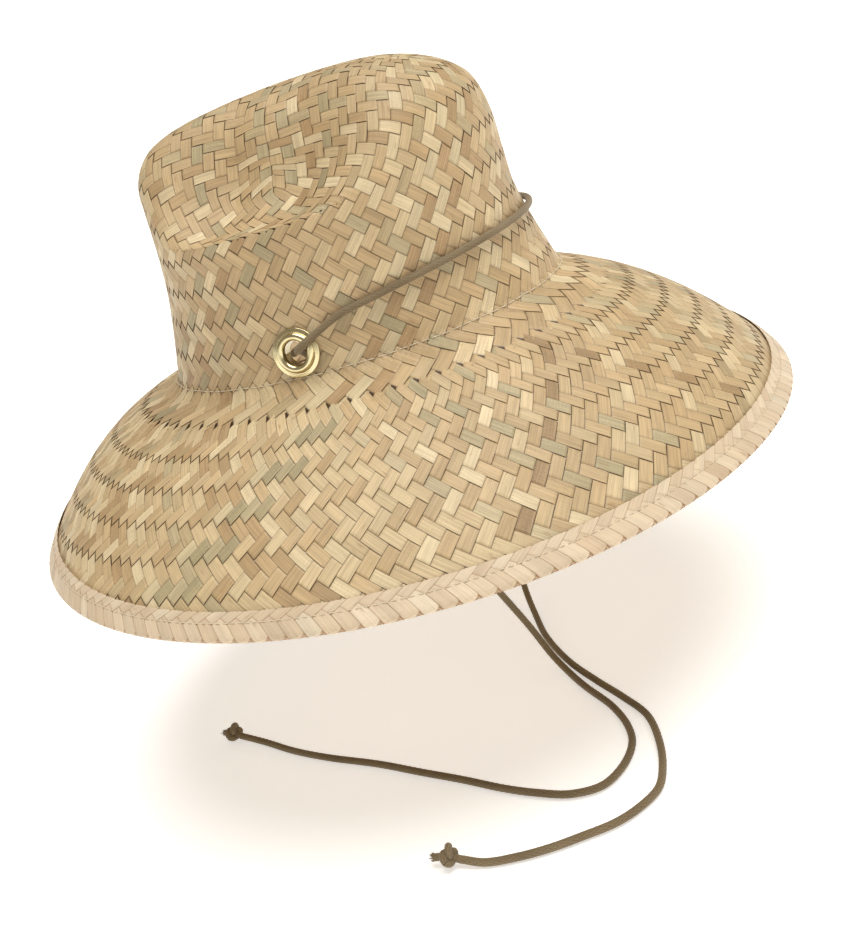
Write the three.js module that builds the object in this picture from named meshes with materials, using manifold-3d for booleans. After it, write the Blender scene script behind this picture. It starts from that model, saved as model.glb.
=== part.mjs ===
// Woven palm sun hat with a down-turned round brim and a chin cord.
// Millimetres, +Z up, front of the hat at -Y, wearer's left at +X.
// Origin: centre of the head opening, in the plane of the seam between crown and brim.
import * as THREE from 'three';
import Module from 'manifold-3d';

const wasm = await Module();
wasm.setup();

// ---- driving dimensions ------------------------------------------------------------------
const SEAM = { x: 86.3, y: 105 };            // half-axes of the oval seam line
const STRAW = 1.5;                           // two crossing palm strips
const GAP = 0.3;                             // clearance left between separate pieces
const AROUND = 48;                           // steps round the hat

// Crown meridians, seam to centre: share of the seam radius, height. Control points of a
// clamped quadratic B-spline; the side dent repeats one point to fold a crisp lip there.
const CROWN = {
  front: [
    [1, 0], [0.89, 38], [0.895, 62], [0.9, 86],
    [0.846, 105], [0.616, 119.6], [0.33, 125.6], [0, 125.6],
  ],
  back: [
    [1, 0], [0.896, 35], [0.85, 58], [0.825, 82],
    [0.831, 103], [0.708, 118.3], [0.33, 124.6], [0, 125.6],
  ],
  side: [
    [1, 0], [0.93, 38], [0.92, 62], [0.92, 86],
    [0.85, 106], [0.62, 118], [0.3, 125], [0, 125.6],
  ],
  dent: [
    [1, 0], [0.925, 34], [0.94, 70], [0.94, 70],
    [0.74, 71], [0.5, 84], [0.37, 123], [0, 125.6],
  ],
};
const DENT_ANGLES = [33, 82, 110, 146];      // degrees from the front: starts, full, full, ends

// Brim: outermost edge of the binding and how the surface falls from seam to edge.
const EDGE = { x: 199, y: 194.5, yShift: -2.7, z: -68.8, frontDip: 12.9 };
const FALL = { front: [0.51, 0.33], back: [0.32, 0.06], side: [0.45, 0.53] };

const BINDING = { over: 11.5, under: 8.5, thick: 1.1, fold: 1.6 };
const WIRE_RADIUS = 0.8;
const BAND = { bottom: 1.5, top: 31.5, thick: 0.9 };
const GROMMET = { z: 13.2, bore: 5.7, barrel: 6.35, flange: 11.6, washer: 10.9, wallHole: 6.95 };
const CORD_RADIUS = 1.75;
const FLOOR_Z = -190;                        // what the loose cord ends lie on

// ---- materials ---------------------------------------------------------------------------
const material = (color, roughness, metalness = 0) =>
  new THREE.MeshStandardMaterial({ color, roughness, metalness });
const STRAW_COLOR = 0xcdb184;
const BINDING_COLOR = 0xdcc7a2;
const BAND_COLOR = 0xb9a887;
const BRASS_COLOR = 0xd0b878;
const STEEL_COLOR = 0x9a9a98;
const CORD_COLOR = 0x7d7050;

// ---- shape of the hat --------------------------------------------------------------------
const smooth = (a, b, x) => {
  const u = Math.min(1, Math.max(0, (x - a) / (b - a)));
  return u * u * (3 - 2 * u);
};

// Shares of the front, back and side shape at angle `th` (0 at the front, +X side first).
function shares(th) {
  const c = Math.cos(th);
  const front = Math.max(0, c) ** 2;
  const back = Math.max(0, -c) ** 2;
  return { front, back, side: 1 - front - back };
}

function dentShare(th) {
  const turn = THREE.MathUtils.radToDeg(Math.acos(Math.cos(th)));
  const [start, full, fullEnd, end] = DENT_ANGLES;
  return smooth(start, full, turn) * (1 - smooth(fullEnd, end, turn));
}

// Point at `t` (0..1) on a clamped quadratic B-spline with uniform inner knots.
function bspline(points, t) {
  const spans = points.length - 2;
  const s = Math.min(Math.floor(t * spans), spans - 1);
  const knot = (i) => Math.min(spans, Math.max(0, i));
  const u = t * spans;
  const mix = (a, b, lo, hi) => {
    const w = (u - lo) / (hi - lo);
    return a.map((v, k) => v * (1 - w) + b[k] * w);
  };
  const left = mix(points[s], points[s + 1], knot(s - 1), knot(s + 1));
  const right = mix(points[s + 1], points[s + 2], knot(s), knot(s + 2));
  return mix(left, right, knot(s), knot(s + 1));
}

function crownProfile(th) {
  const w = shares(th);
  const d = dentShare(th);
  const plain = (i, k) =>
    w.front * CROWN.front[i][k] + w.back * CROWN.back[i][k] + w.side * CROWN.side[i][k];
  return CROWN.side.map((_, i) => [0, 1].map((k) => plain(i, k) * (1 - d) + CROWN.dent[i][k] * d));
}

// Outer surface of the crown: t = 0 on the seam line, 1 at the middle of the top.
function crownPoint(th, t) {
  const [rho, z] = bspline(crownProfile(th), t);
  return new THREE.Vector3(rho * SEAM.x * Math.sin(th), -rho * SEAM.y * Math.cos(th), z);
}

// Upper surface of the brim: h = 0 on the seam line, 1 at the outermost edge.
function brimPoint(th, h) {
  const w = shares(th);
  const [b, q] = [0, 1].map((k) =>
    w.front * FALL.front[k] + w.back * FALL.back[k] + w.side * FALL.side[k]);
  const drop = EDGE.z - EDGE.frontDip * Math.cos(th);
  const seam = new THREE.Vector3(SEAM.x * Math.sin(th), -SEAM.y * Math.cos(th), 0);
  const edge = new THREE.Vector3(EDGE.x * Math.sin(th), EDGE.yShift - EDGE.y * Math.cos(th), 0);
  const point = seam.lerp(edge, h);
  point.z = drop * (b * h + q * h * h + (1 - b - q) * h ** 3);
  return point;
}

// Unit normal of a surface, on the side away from the wearer.
function normalOf(surface, th, t) {
  const step = 1e-3;
  const a = surface(th + step, t).sub(surface(th - step, t));
  const b = surface(th, Math.min(1, t + step)).sub(surface(th, Math.max(0, t - step)));
  const n = a.cross(b).normalize();
  return surface === brimPoint && n.z < 0 ? n.negate() : n;
}

const offset = (surface, th, t, distance) =>
  surface(th, t).addScaledVector(normalOf(surface, th, t), distance);

// ---- mesh helpers ------------------------------------------------------------------------
const angle = (i) => (2 * Math.PI * i) / AROUND;

// A ring swept once round the hat: `section(th)` returns the closed outline at angle th.
function ringSolid(section) {
  const rows = Array.from({ length: AROUND }, (_, i) => section(angle(i)));
  const m = rows[0].length;
  const index = [];
  for (let i = 0; i < AROUND; i += 1) {
    for (let j = 0; j < m; j += 1) {
      const a = i * m + j;
      const b = ((i + 1) % AROUND) * m + j;
      const c = ((i + 1) % AROUND) * m + ((j + 1) % m);
      const d = i * m + ((j + 1) % m);
      index.push(a, b, c, a, c, d);
    }
  }
  return indexed(rows.flat(), index);
}

// A cap with a pole: rows from the rim to the pole outside, then back to the rim inside.
function capSolid(outer, inner, rows) {
  const points = [];
  const index = [];
  const ring = (surface, k) => {
    for (let i = 0; i < AROUND; i += 1) points.push(surface(angle(i), k / rows));
  };
  for (let k = 0; k < rows; k += 1) ring(outer, k);
  points.push(outer(0, 1));
  const poleOut = points.length - 1;
  for (let k = 0; k < rows; k += 1) ring(inner, k);
  points.push(inner(0, 1));
  const poleIn = points.length - 1;
  const at = (base, k, i) => base + k * AROUND + (i % AROUND);
  const base = poleOut + 1;
  for (let i = 0; i < AROUND; i += 1) {
    for (let k = 0; k < rows - 1; k += 1) {
      index.push(at(0, k, i), at(0, k, i + 1), at(0, k + 1, i + 1));
      index.push(at(0, k, i), at(0, k + 1, i + 1), at(0, k + 1, i));
      index.push(at(base, k, i), at(base, k + 1, i + 1), at(base, k, i + 1));
      index.push(at(base, k, i), at(base, k + 1, i), at(base, k + 1, i + 1));
    }
    index.push(at(0, rows - 1, i), at(0, rows - 1, i + 1), poleOut);
    index.push(at(base, rows - 1, i + 1), at(base, rows - 1, i), poleIn);
    index.push(at(0, 0, i + 1), at(0, 0, i), at(base, 0, i));
    index.push(at(0, 0, i + 1), at(base, 0, i), at(base, 0, i + 1));
  }
  return indexed(points, index);
}

function indexed(points, index) {
  return outward(geometryFrom(points.flatMap((p) => p.toArray()), index));
}

function geometryFrom(numbers, index) {
  const geometry = new THREE.BufferGeometry();
  geometry.setAttribute('position', new THREE.Float32BufferAttribute(numbers, 3));
  geometry.setIndex(index);
  return geometry;
}

// Turns the faces round where the enclosed volume comes out negative.
function outward(geometry) {
  const p = geometry.attributes.position;
  const ix = geometry.index.array;
  const [a, b, c] = [new THREE.Vector3(), new THREE.Vector3(), new THREE.Vector3()];
  let volume = 0;
  for (let i = 0; i < ix.length; i += 3) {
    a.fromBufferAttribute(p, ix[i]);
    b.fromBufferAttribute(p, ix[i + 1]);
    c.fromBufferAttribute(p, ix[i + 2]);
    volume += a.dot(b.cross(c));
  }
  if (volume < 0) {
    for (let i = 0; i < ix.length; i += 3) [ix[i + 1], ix[i + 2]] = [ix[i + 2], ix[i + 1]];
  }
  return geometry;
}

// ---- booleans ----------------------------------------------------------------------------
function weld(geometry) {
  const found = new Map();
  const points = [];
  const p = geometry.attributes.position;
  const remap = Array.from({ length: p.count }, (_, i) => {
    const key = [p.getX(i), p.getY(i), p.getZ(i)].map((v) => Math.round(v * 1e4)).join();
    if (!found.has(key)) {
      found.set(key, points.length / 3);
      points.push(p.getX(i), p.getY(i), p.getZ(i));
    }
    return found.get(key);
  });
  const order = geometry.index ? Array.from(geometry.index.array) : remap.map((_, i) => i);
  const index = [];
  for (let i = 0; i < order.length; i += 3) {
    const [a, b, c] = order.slice(i, i + 3).map((v) => remap[v]);
    if (a !== b && b !== c && a !== c) index.push(a, b, c);
  }
  return outward(geometryFrom(points, index));
}

function solidOf(geometry) {
  const w = weld(geometry);
  return new wasm.Manifold(new wasm.Mesh({
    numProp: 3,
    vertProperties: new Float32Array(w.attributes.position.array),
    triVerts: new Uint32Array(w.index.array),
  }));
}

function geometryOf(solid) {
  const mesh = solid.getMesh();
  return geometryFrom(Array.from(mesh.vertProperties), Array.from(mesh.triVerts));
}

const cut = (body, ...tools) =>
  geometryOf(tools.reduce((left, tool) => left.subtract(solidOf(tool)), solidOf(body)));

// ---- crown, brim, binding, wire, sweatband -----------------------------------------------
const CROWN_ROWS = 16;
const BRIM_ROWS = 7;
const BRIM_EDGE = 0.972;                     // the woven brim stops inside the folded binding

function crownGeometry() {
  const lift = (v) => new THREE.Vector3(v.x, v.y, Math.max(v.z, GAP / 2));
  const outer = (th, t) => lift(crownPoint(th, t));
  const inner = (th, t) => (t < 1 ? lift(offset(crownPoint, th, t, -STRAW))
    : crownPoint(0, 1).add(new THREE.Vector3(0, 0, -STRAW)));
  return capSolid(outer, inner, CROWN_ROWS);
}

function brimGeometry() {
  return ringSolid((th) => {
    const top = [];
    const bottom = [];
    for (let k = 0; k <= BRIM_ROWS; k += 1) {
      const h = BRIM_EDGE * (1 - (1 - k / BRIM_ROWS) ** 1.5);   // rows close up at the edge
      const p = brimPoint(th, h);
      top.push(p.setZ(p.z - GAP / 2));
      const q = offset(brimPoint, th, h, -STRAW);
      bottom.push(q.setZ(q.z - GAP / 2));
    }
    const tuck = new THREE.Vector3(-Math.sin(th), Math.cos(th), 0).multiplyScalar(STRAW);
    top.unshift(top[0].clone().add(tuck));
    bottom.unshift(bottom[0].clone().add(tuck));
    return [...top, ...bottom.reverse()];
  });
}

// Local axes at the brim edge: `out` down along the straw, `up` away from it.
function edgeFrame(th) {
  const tip = brimPoint(th, 1);
  const out = tip.clone().sub(brimPoint(th, 0.96)).normalize();
  const up = normalOf(brimPoint, th, 0.99);
  return (u, v) => tip.clone().addScaledVector(out, u).addScaledVector(up, v - GAP / 2);
}

// The folded braid: an open fold over the edge, with a round nose that holds the wire.
function bindingSection(th) {
  const at = edgeFrame(th);
  const { over, under, thick, fold } = BINDING;
  const noseSteps = 4;
  const inside = STRAW / 2 + GAP;            // half the room inside the fold
  const nose = [];
  const noseInside = [];
  for (let k = 0; k <= noseSteps; k += 1) {
    const a = Math.PI / 2 - (Math.PI * k) / noseSteps;
    const [c, s] = [Math.cos(a), Math.sin(a)];
    nose.push(at((fold + thick) * (c - 1), (inside + thick) * s - STRAW / 2));
    noseInside.push(at(fold * (c - 1) - thick, inside * s - STRAW / 2));
  }
  const along = (u, v) => {
    const h = 1 + u / brimPoint(th, 1).distanceTo(brimPoint(th, 0));
    const n = normalOf(brimPoint, th, h);
    const p = brimPoint(th, h).addScaledVector(n, v);
    return p.setZ(p.z - GAP / 2);
  };
  return [
    along(-over, GAP + thick), along(-over / 2, GAP + thick), ...nose,
    along(-under / 2, -STRAW - GAP - thick), along(-under, -STRAW - GAP - thick),
    along(-under, -STRAW - GAP), along(-under / 2, -STRAW - GAP), ...noseInside.reverse(),
    along(-over / 2, GAP), along(-over, GAP),
  ];
}

function wireSection(th) {
  const at = edgeFrame(th);
  const sides = 5;
  const centre = -BINDING.thick - GAP / 2 - WIRE_RADIUS;
  return Array.from({ length: sides }, (_, k) => {
    const a = (-2 * Math.PI * k) / sides;
    return at(centre + WIRE_RADIUS * Math.cos(a), -STRAW / 2 + WIRE_RADIUS * Math.sin(a));
  });
}

// Height `z` on the crown wall, as the parameter of the meridian.
function wallParameter(th, z) {
  let [lo, hi] = [0, 0.45];                  // the wall; the lip and the top lie beyond it
  for (let k = 0; k < 30; k += 1) {
    const mid = (lo + hi) / 2;
    if (crownPoint(th, mid).z < z) lo = mid;
    else hi = mid;
  }
  return lo;
}

const wallPoint = (th, z, depth) => offset(crownPoint, th, wallParameter(th, z), depth);

function sweatbandSection(th) {
  const depth = -STRAW - GAP;
  const heights = [BAND.bottom, (BAND.bottom + BAND.top) / 2, BAND.top];
  return [
    ...heights.map((z) => wallPoint(th, z, depth)),
    ...heights.map((z) => wallPoint(th, z, depth - BAND.thick)).reverse(),
  ];
}

// ---- grommets ----------------------------------------------------------------------------
// `side` is +1 on the wearer's left, -1 on the wearer's right.
const sideAngle = (side) => (side * Math.PI) / 2;

// Frame at a grommet: local +Z points out of the crown along the wall's normal.
function grommetMatrix(side) {
  const th = sideAngle(side);
  const t = wallParameter(th, GROMMET.z);
  const n = normalOf(crownPoint, th, t);
  const turn = new THREE.Quaternion().setFromUnitVectors(new THREE.Vector3(0, 0, 1), n);
  return new THREE.Matrix4().compose(crownPoint(th, t), turn, new THREE.Vector3(1, 1, 1));
}

// Solid of revolution about local Z from a closed outline of [radius, height] pairs.
function turned(outline, side, segments = 20) {
  const closed = [...outline, outline[0]].map(([r, z]) => new THREE.Vector2(r, z));
  const geometry = new THREE.LatheGeometry(closed, segments);
  geometry.rotateX(Math.PI / 2);
  return weld(geometry.applyMatrix4(grommetMatrix(side)));
}

const arc = (r, z, radius, from, to, steps) => Array.from({ length: steps + 1 }, (_, k) => {
  const a = THREE.MathUtils.degToRad(from + ((to - from) * k) / steps);
  return [r + radius * Math.cos(a), z + radius * Math.sin(a)];
});

const INSIDE = -(STRAW + GAP + BAND.thick);  // inner face of the sweatband, from the outside
const FLANGE_LIFT = 0.65;                    // flat metal on the flared wall touches at its rim
const WASHER_DROP = 1.0;

function eyeletOutline() {
  const { bore, barrel, flange } = GROMMET;
  const lift = FLANGE_LIFT;
  const tail = INSIDE - WASHER_DROP - 1.9;
  const roll = 1.9;                          // half-width of the rounded roll round the bore
  return [
    [bore, tail + 1.1],
    ...arc(bore + roll, lift + 0.9, roll, 180, 0, 5),
    [bore + 2 * roll + 0.6, lift + 0.7],
    [flange - 0.4, lift + 0.7],
    [flange, lift + 0.4],
    [flange, lift],
    [barrel + 0.5, lift],
    [barrel, lift - 0.5],
    [barrel, tail + 1.3],
    ...arc(barrel + 1.15, tail + 1.15, 0.5, 180, 330, 2),
    ...arc(barrel + 1.15, tail + 1.15, 1.1, 330, 200, 3),
  ];
}

function washerOutline() {
  const { barrel, washer } = GROMMET;
  const top = INSIDE - WASHER_DROP;
  return [
    [barrel + 0.25, top], [washer, top], [washer, top - 0.35], [washer - 0.3, top - 0.6],
    [barrel + 2.7, top - 0.6], [barrel + 2.3, top - 0.3], [barrel + 0.25, top - 0.3],
  ];
}

const grommetHole = (side) => {
  const { wallHole } = GROMMET;
  return turned([[0, -8], [wallHole, -8], [wallHole, 6], [0, 6]], side, 20);
};

// ---- chin cord ---------------------------------------------------------------------------
const HALF_SIDES = 4;                        // an 8-sided tube

function tube(points, radius, steps) {
  const vectors = points.map((p) => new THREE.Vector3(...p));
  const extrudePath = new THREE.CatmullRomCurve3(vectors, false, 'centripetal');
  const circle = new THREE.Shape();
  circle.absarc(0, 0, radius, 0, 2 * Math.PI, false);
  const options = { steps, curveSegments: HALF_SIDES, bevelEnabled: false, extrudePath };
  return weld(new THREE.ExtrudeGeometry(circle, options));
}

// Height of the cord over the seam: low at the grommets, high across the front.
const CORD_FRONT_Z = 33.5;
const CORD_LIFT = 0.6;                       // clear of the facets of the wall
const cordHeight = (turn) =>
  GROMMET.z + (CORD_FRONT_Z - GROMMET.z) * Math.sqrt(1 - (Math.abs(turn) / 90) ** 2.2);

// Steps out through the grommet and over its roll: [forward, up, out] from the bore's middle.
const MOUTH = [[1.2, 0.3, -0.6], [2.8, 1.2, 4.4], [7.2, 3.4, 6.1], [13.0, 6.2, 4.6]];

function mouthPoints(side) {
  const frame = grommetMatrix(side);
  return MOUTH.map(([forward, up, out]) =>
    new THREE.Vector3(-side * up, -forward, out).applyMatrix4(frame).toArray());
}

function bandCordPoints() {
  const points = [];
  const leave = 76;                          // degrees from the front where it meets the straw
  const half = 8;
  for (let k = -half; k <= half; k += 1) {
    const turn = (leave * k) / half;
    const th = THREE.MathUtils.degToRad(turn);
    points.push(wallPoint(th, cordHeight(turn), CORD_RADIUS + CORD_LIFT).toArray());
  }
  return [...mouthPoints(-1), ...points, ...mouthPoints(1).reverse()];
}

// Loose ends: in through the grommet, down inside the hat, then along the floor.
const LIE_Z = FLOOR_Z + CORD_RADIUS;
const END_Z = LIE_Z + 1.6;                   // the knot lifts the last of the cord
const RIGHT_END = [
  [-83.6, 2.0, 13.0], [-77.5, 2.2, 12.2], [-73.0, 0.6, 7.5], [-71.0, -3.0, -4], [-64.0, -17, -60],
  [-52.0, -34, -120], [-41.5, -47, -165], [-42.0, -54, -183],
  [-50.0, -62, LIE_Z], [-66, -74, LIE_Z], [-86, -91, LIE_Z], [-103, -101, LIE_Z], [-117, -105, LIE_Z],
  [-133, -103, LIE_Z], [-145, -96, LIE_Z], [-149, -83, LIE_Z], [-146, -66, LIE_Z], [-141, -50, LIE_Z],
  [-132, -28, LIE_Z], [-123, -4, LIE_Z], [-113, 22, LIE_Z], [-103, 54, LIE_Z], [-94, 77, LIE_Z],
  [-83, 99, LIE_Z], [-77, 116, END_Z],
];
const LEFT_END = [
  [83.6, 2.0, 13.0], [77.5, 2.2, 12.2], [73.0, 0.6, 7.5], [71.5, -3.0, -4], [68.0, -7, -60],
  [58.0, -13, -120], [44.0, -19, -160], [27.0, -25, -182],
  [10.0, -32.5, LIE_Z], [-13, -43, LIE_Z], [-41, -61, LIE_Z], [-63, -80, LIE_Z], [-79, -95, LIE_Z],
  [-96, -109, LIE_Z], [-116, -117, LIE_Z], [-135, -121, LIE_Z], [-150, -121, LIE_Z], [-161, -115, LIE_Z],
  [-170, -106, LIE_Z], [-177, -93, LIE_Z], [-183, -80, LIE_Z], [-187, -67, LIE_Z], [-189, -53, LIE_Z],
  [-188, -42, END_Z],
];

// An overhand knot pulled tight: three arcs of a trefoil squeezed along the cord, and the short
// tail, as one body.
const KNOT = { big: 2.6, small: 1.4, flat: 0.85, height: 5.1, reach: 4.6 };

function knotGeometry(at, heading) {
  const arcs = 3;
  const steps = 6;
  const { big, small, flat } = KNOT;
  const trefoil = (u) => [
    0.9 * small * Math.sin(3 * u),
    (big + small * Math.cos(3 * u)) * Math.cos(2 * u),
    flat * (big + small * Math.cos(3 * u)) * Math.sin(2 * u),
  ];
  const parts = Array.from({ length: arcs }, (_, part) => {
    const at01 = (k) => (part + (k - 0.5) / steps) / arcs;
    const points = Array.from({ length: steps + 2 }, (_, k) => trefoil(2 * Math.PI * at01(k)));
    return solidOf(tube(points, CORD_RADIUS * 0.95, 8));
  });
  parts.push(solidOf(tube([[1.5, 0, 0], [5, 0.5, -0.4], [8.5, 0.2, -1.0]], CORD_RADIUS * 0.95, 4)));
  const body = parts.reduce((all, part) => all.add(part));
  const place = new THREE.Matrix4().makeRotationZ(heading).setPosition(...at);
  return weld(geometryOf(body).applyMatrix4(place));
}

function knotAfter(points) {
  const { reach, height } = KNOT;
  const [[ax, ay], [bx, by]] = [points[points.length - 2], points[points.length - 1]];
  const heading = Math.atan2(by - ay, bx - ax);
  const at = [bx + reach * Math.cos(heading), by + reach * Math.sin(heading), FLOOR_Z + height];
  return knotGeometry(at, heading);
}

// ---- assembly ----------------------------------------------------------------------------
const hat = new THREE.Group();
hat.name = 'straw_sun_hat';
const add = (name, geometry, mat) => {
  geometry.deleteAttribute('uv');
  const mesh = new THREE.Mesh(geometry, mat);
  mesh.name = name;
  hat.add(mesh);
};

const holes = [-1, 1].map(grommetHole);
add('crown', cut(crownGeometry(), ...holes), material(STRAW_COLOR, 0.75));
add('brim', brimGeometry(), material(STRAW_COLOR, 0.75));
add('edge_braid', ringSolid(bindingSection), material(BINDING_COLOR, 0.8));
add('brim_wire', ringSolid(wireSection), material(STEEL_COLOR, 0.4, 1));
add('sweatband', cut(ringSolid(sweatbandSection), ...holes), material(BAND_COLOR, 0.9));
for (const [word, side] of [['right', -1], ['left', 1]]) {
  add(`grommet_${word}_eyelet`, turned(eyeletOutline(), side), material(BRASS_COLOR, 0.25, 1));
  add(`grommet_${word}_washer`, turned(washerOutline(), side), material(BRASS_COLOR, 0.3, 1));
}
add('chin_cord_band', tube(bandCordPoints(), CORD_RADIUS, 48), material(CORD_COLOR, 0.85));
add('chin_cord_right_end', tube(RIGHT_END, CORD_RADIUS, 46), material(CORD_COLOR, 0.85));
add('chin_cord_left_end', tube(LEFT_END, CORD_RADIUS, 38), material(CORD_COLOR, 0.85));
add('chin_cord_right_knot', knotAfter(RIGHT_END), material(CORD_COLOR, 0.85));
add('chin_cord_left_knot', knotAfter(LEFT_END), material(CORD_COLOR, 0.85));

export default hat;
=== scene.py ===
"""Looks of a woven palm sun hat with a folded braid edge, brass grommets and a chin cord.

Sizes are in millimetres, in the CAD model's frame: +Z up, front of the hat at -Y, wearer's left at
+X, origin at the centre of the head opening in the plane of the seam. Meshes are scaled to metres
as they are built. Angles round the hat are 0 at the front and grow towards the wearer's left.
"""

import math
from typing import NamedTuple

import bmesh
import bpy
import numpy as np
from mathutils import Matrix, Vector


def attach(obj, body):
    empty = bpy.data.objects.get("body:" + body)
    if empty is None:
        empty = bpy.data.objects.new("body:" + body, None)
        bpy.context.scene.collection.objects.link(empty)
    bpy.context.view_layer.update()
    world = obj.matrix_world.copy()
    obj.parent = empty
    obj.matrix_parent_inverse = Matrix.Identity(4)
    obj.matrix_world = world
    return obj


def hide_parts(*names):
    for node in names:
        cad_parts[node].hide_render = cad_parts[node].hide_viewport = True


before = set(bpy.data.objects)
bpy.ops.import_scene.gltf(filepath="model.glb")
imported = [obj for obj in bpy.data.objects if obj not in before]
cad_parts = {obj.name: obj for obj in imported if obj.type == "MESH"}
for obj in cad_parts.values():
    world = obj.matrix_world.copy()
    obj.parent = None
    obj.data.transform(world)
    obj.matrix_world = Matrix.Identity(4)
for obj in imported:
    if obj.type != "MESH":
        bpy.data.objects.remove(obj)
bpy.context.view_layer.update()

MM = 0.001
TURN = 2 * math.pi
rng = np.random.default_rng(11)

# ---- driving dimensions, as in the CAD model ----
SEAM_X, SEAM_Y = 86.3, 105.0  # half-axes of the oval seam line
STRAW = 1.5  # two crossing palm strips
GAP = 0.3
FLOOR_Z = -190.0  # the table, well below the brim of a hat held on a head

# Crown meridians from the seam to the centre of the top: share of the seam radius, and height.
SEAM_POINT, TOP_POINT = (1, 0), (0, 125.6)
CROWN = {
    "front": [(0.89, 38), (0.895, 62), (0.9, 86), (0.846, 105), (0.616, 119.6), (0.33, 125.6)],
    "back": [(0.896, 35), (0.85, 58), (0.825, 82), (0.831, 103), (0.708, 118.3), (0.33, 124.6)],
    "side": [(0.93, 38), (0.92, 62), (0.92, 86), (0.85, 106), (0.62, 118), (0.3, 125)],
    "dent": [(0.925, 34), (0.94, 70), (0.94, 70), (0.74, 71), (0.5, 84), (0.37, 123)],
}
DENT_ANGLES = (33, 82, 110, 146)  # degrees from the front: starts, full, full, ends

EDGE_X, EDGE_Y, EDGE_SHIFT = 199.0, 194.5, -2.7  # half-axes of the brim's edge, and its shift
EDGE_Z, FRONT_DIP = -68.8, 12.9  # the edge's height, and how far the front hangs below it
# Shares of the drop that fall off evenly and as a square along the brim; the rest is cubic.
FALL = {"front": (0.51, 0.33), "back": (0.32, 0.06), "side": (0.45, 0.53)}

BINDING_OVER, BINDING_UNDER, BINDING_THICK, BINDING_FOLD = 11.5, 8.5, 1.1, 1.6
BAND_BOTTOM, BAND_TOP, BAND_THICK = 1.5, 31.5, 0.9
GROMMET_Z, BORE, BARREL, FLANGE, WASHER = 13.2, 5.7, 6.35, 11.6, 10.9
GROMMET_PLAY, GROMMET_DEPTH = 0.35, 9.0  # of the holes in the straw and the sweatband
CORD_RADIUS = 1.75
WALL_SHARE = 0.45  # the crown's wall ends before this value of its parameter t


# ---- shape of the hat ----
def smooth(a, b, x):
    """0 below a, 1 above b, and a smooth step between."""
    u = np.clip((x - a) / (b - a), 0, 1)
    return u * u * (3 - 2 * u)


def shares(th):
    """Shares of the front, back and side shape at angle th."""
    c = np.cos(th)
    front, back = np.clip(c, 0, 1) ** 2, np.clip(-c, 0, 1) ** 2
    return {"front": front, "back": back, "side": 1 - front - back}


def dent_share(th):
    """How much of the dent's meridian there is at angle th, 0 to 1."""
    turn = np.degrees(np.arccos(np.clip(np.cos(th), -1, 1)))
    start, full, full_end, end = DENT_ANGLES
    return smooth(start, full, turn) * (1 - smooth(full_end, end, turn))


def meridian(name):
    return np.array([SEAM_POINT, *CROWN[name], TOP_POINT], float)


def crown_point(th, t, dented=1.0):
    """Outer surface of the crown: t is 0 on the seam line and 1 at the middle of the top."""
    th, t = np.broadcast_arrays(th, t)
    w, dent = shares(th), dented * dent_share(th)
    dent = dent[..., None, None]
    plain = sum(w[k][..., None, None] * meridian(k) for k in w)
    points = plain * (1 - dent) + dent * meridian("dent")
    spans = points.shape[-2] - 2
    u = np.clip(t, 0, 1) * spans
    s = np.minimum(u.astype(int), spans - 1)

    def control(k):
        return np.take_along_axis(points, (s + k)[..., None, None], axis=-2)[..., 0, :]

    def mix(a, b, low, high):
        low, high = np.clip(low, 0, spans), np.clip(high, 0, spans)
        share = ((u - low) / (high - low))[..., None]
        return a * (1 - share) + b * share

    left = mix(control(0), control(1), s - 1, s + 1)
    right = mix(control(1), control(2), s, s + 2)
    rho, z = np.moveaxis(mix(left, right, s, s + 1), -1, 0)
    return np.stack([rho * SEAM_X * np.sin(th), -rho * SEAM_Y * np.cos(th), z], -1)


def brim_point(th, h):
    """Upper surface of the brim: h is 0 on the seam line and 1 at the outermost edge."""
    th, h = np.broadcast_arrays(th, h)
    w = shares(th)
    b, q = (sum(w[k] * FALL[k][i] for k in w) for i in (0, 1))
    drop = EDGE_Z - FRONT_DIP * np.cos(th)
    x = (SEAM_X + (EDGE_X - SEAM_X) * h) * np.sin(th)
    y = -(SEAM_Y + (EDGE_Y - SEAM_Y) * h) * np.cos(th) + EDGE_SHIFT * h
    return np.stack([x, y, drop * (b * h + q * h**2 + (1 - b - q) * h**3)], -1)


def brim_chord(th):
    """Straight from the seam line to the outermost edge."""
    return np.linalg.norm(brim_point(th, 1.0) - brim_point(th, 0.0), axis=-1)


def unit(v):
    return v / np.maximum(np.linalg.norm(v, axis=-1, keepdims=True), 1e-9)


def normal_of(surface, th, t):
    """Unit normal on the side away from the wearer."""
    step = 1e-3
    around = surface(th + step, t) - surface(th - step, t)
    along = surface(th, np.minimum(1, t + step)) - surface(th, np.maximum(0, t - step))
    n = unit(np.cross(around, along))
    return np.where((n[..., 2:] < 0) & (surface is brim_point), -n, n)


def looked_up(table, a, b):
    """The table's value at row a and column b, which may be fractions."""
    i = np.minimum(a.astype(int), table.shape[0] - 2)
    j = np.minimum(b.astype(int), table.shape[1] - 2)
    fa, fb = a - i, b - j
    low = table[i, j] * (1 - fb) + table[i, j + 1] * fb
    high = table[i + 1, j] * (1 - fb) + table[i + 1, j + 1] * fb
    return low * (1 - fa) + high * fa


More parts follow.
